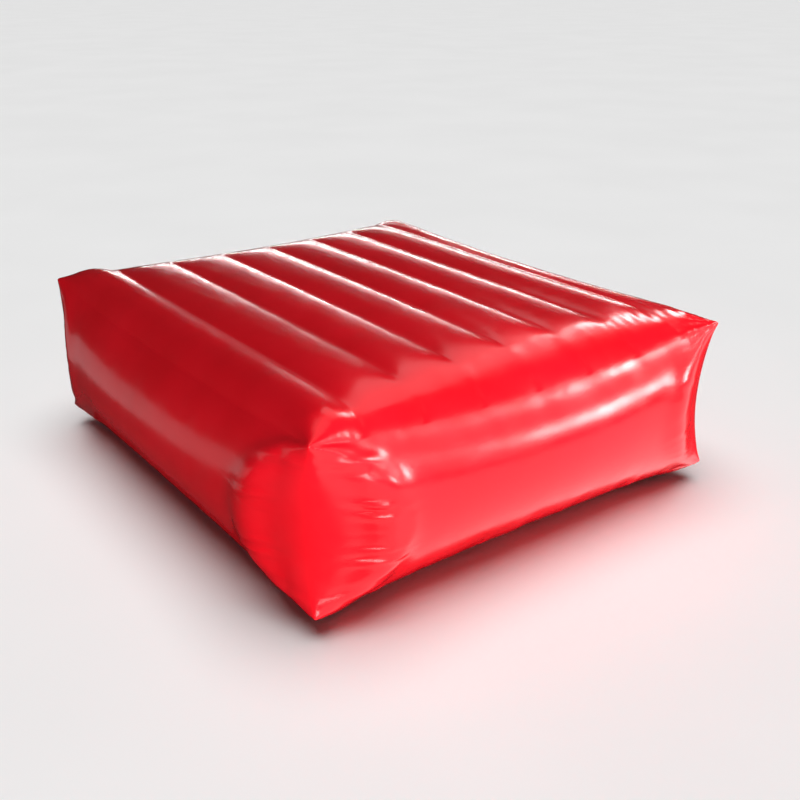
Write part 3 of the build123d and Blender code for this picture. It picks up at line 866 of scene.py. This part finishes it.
# A pale surround, which only the camera sees
SURROUND_RADIUS = 130.0
SURROUND_HEIGHT = 120.0
SURROUND_SIDES = 96
SURROUND_FOOT = -1.0
SURROUND_GLOW = (0.78, 0.78, 0.78, 1)
turns = [2 * pi * side / SURROUND_SIDES for side in range(SURROUND_SIDES)]
surround_points = [
    (SURROUND_RADIUS * cos(turn), SURROUND_RADIUS * sin(turn), height)
    for height in (SURROUND_FOOT, SURROUND_HEIGHT)
    for turn in turns
]
afters = [(side + 1) % SURROUND_SIDES for side in range(SURROUND_SIDES)]
surround_faces = [
    (side, after, SURROUND_SIDES + after, SURROUND_SIDES + side)
    for side, after in enumerate(afters)
]
surround_mesh = bpy.data.meshes.new("studio_surround")
surround_mesh.from_pydata(surround_points, [], surround_faces)
surround = bpy.data.objects.new("studio_surround", surround_mesh)
scene.collection.objects.link(surround)
surround_material, _, surround_shader = node_material("surround", (0, 0, 0), 1.0)
surround_shader.inputs["Emission Color"].default_value = SURROUND_GLOW
surround_shader.inputs["Emission Strength"].default_value = 1.0
surround.data.materials.append(surround_material)
surround.visible_glossy = False
surround.visible_diffuse = False
surround.visible_shadow = False


def floor_link(name, state):
    """A light's receivers: the floor alone, or everything else."""
    group = bpy.data.collections.new(name)
    group.objects.link(floor)
    group.collection_objects[0].light_linking.link_state = state
    return group


floor_only = floor_link("floor_only", "INCLUDE")
all_but_floor = floor_link("all_but_floor", "EXCLUDE")

world = bpy.data.worlds.new("studio")
world.use_nodes = True
background = world.node_tree.nodes["Background"]
background.inputs["Color"].default_value = (1.0, 1.0, 1.0, 1)
background.inputs["Strength"].default_value = WORLD_STRENGTH
scene.world = world
scene.view_settings.view_transform = "Standard"
middle = Vector(((skin_low + skin_high) / 2).tolist())


def soft_light(name, place, width, height, power, gloss=True):
    """A rectangular light that looks at the mat, and that its gloss may show."""
    lamp = bpy.data.lights.new(name, "AREA")
    lamp.shape = "RECTANGLE"
    lamp.size = width
    lamp.size_y = height
    lamp.energy = power
    obj = bpy.data.objects.new(name, lamp)
    scene.collection.objects.link(obj)
    obj.location = place
    obj.rotation_euler = (middle - Vector(place)).to_track_quat("-Z", "Y").to_euler()
    obj.visible_camera = False
    obj.visible_glossy = gloss
    obj.light_linking.receiver_collection = all_but_floor


def overhead(name, energy, receivers):
    """Even light from above."""
    lamp = bpy.data.lights.new(name, "SUN")
    lamp.energy = energy
    lamp.angle = SKY_SPREAD
    obj = bpy.data.objects.new(name, lamp)
    scene.collection.objects.link(obj)
    obj.light_linking.receiver_collection = receivers


def low_panel(name, place, width, height, power):
    """A panel that only the gloss shows, seen through the floor."""
    soft_light(name, place, width, height, power)
    obj = bpy.data.objects[name]
    obj.light_linking.blocker_collection = all_but_floor
    obj.visible_diffuse = False


# Soft lights and low panels: name, place, width, height and watts of each
soft_light("front_key", (0.8, -7.0, 2.0), 3.0, 2.0, 760, gloss=False)
soft_light("front_left_fill", (-4.2, -6.0, 1.8), 2.6, 1.6, 520, gloss=False)
soft_light("row_glint", (4.6, -5.4, 1.6), 1.0, 0.8, 100)
soft_light("front_right_fill", (4.2, -4.8, 2.7), 5.0, 4.6, 70)
soft_light("back_right_glint", (4.2, 5.5, 1.1), 6.0, 0.2, 62)
soft_light("back_right_glow", (4.6, 6.0, 1.9), 6.0, 1.2, 4)
soft_light("seam_glint", (5.3, -4.0, 4.2), 1.1, 0.45, 110)
soft_light("shoulder_sheen", (3.5, 2.0, 5.5), 4.0, 3.0, 42)
soft_light("shoulder_glint", (6.0, 2.0, 5.0), 1.4, 1.0, 90)
soft_light("right_glint", (5.8, -3.4, 2.2), 1.2, 2.2, 130)
low_panel("fold_glint", (-2.6, -7.2, 0.7), 3.4, 1.2, 240)
low_panel("back_left_panel", (-4.6, 5.0, -0.65), 6.0, 1.8, 18)
low_panel("front_right_panel", (2.5, -4.5, -3.2), 14.0, 7.5, 440)
overhead("overhead_on_mat", 0.78, all_but_floor)
overhead("overhead_on_floor", 2.9, floor_only)

# The camera, fitted to the outline, the corners and the grooves
VIEW_AZIMUTH = radians(-36.46)
VIEW_ELEVATION = radians(23.38)
VIEW_DISTANCE = 3.663
VIEW_AIM = Vector((-0.028, -0.247, 0.3))
LENS = 45.4
SENSOR = 36.0
backwards = Vector(
    (
        sin(VIEW_AZIMUTH) * cos(VIEW_ELEVATION),
        -cos(VIEW_AZIMUTH) * cos(VIEW_ELEVATION),
        sin(VIEW_ELEVATION),
    )
)
camera_data = bpy.data.cameras.new("camera")
camera_data.sensor_width = SENSOR
camera_data.lens = LENS
camera = bpy.data.objects.new("camera", camera_data)
scene.collection.objects.link(camera)
camera.location = VIEW_AIM + backwards * VIEW_DISTANCE
camera.rotation_euler = (-backwards).to_track_quat("-Z", "Y").to_euler()
scene.camera = camera
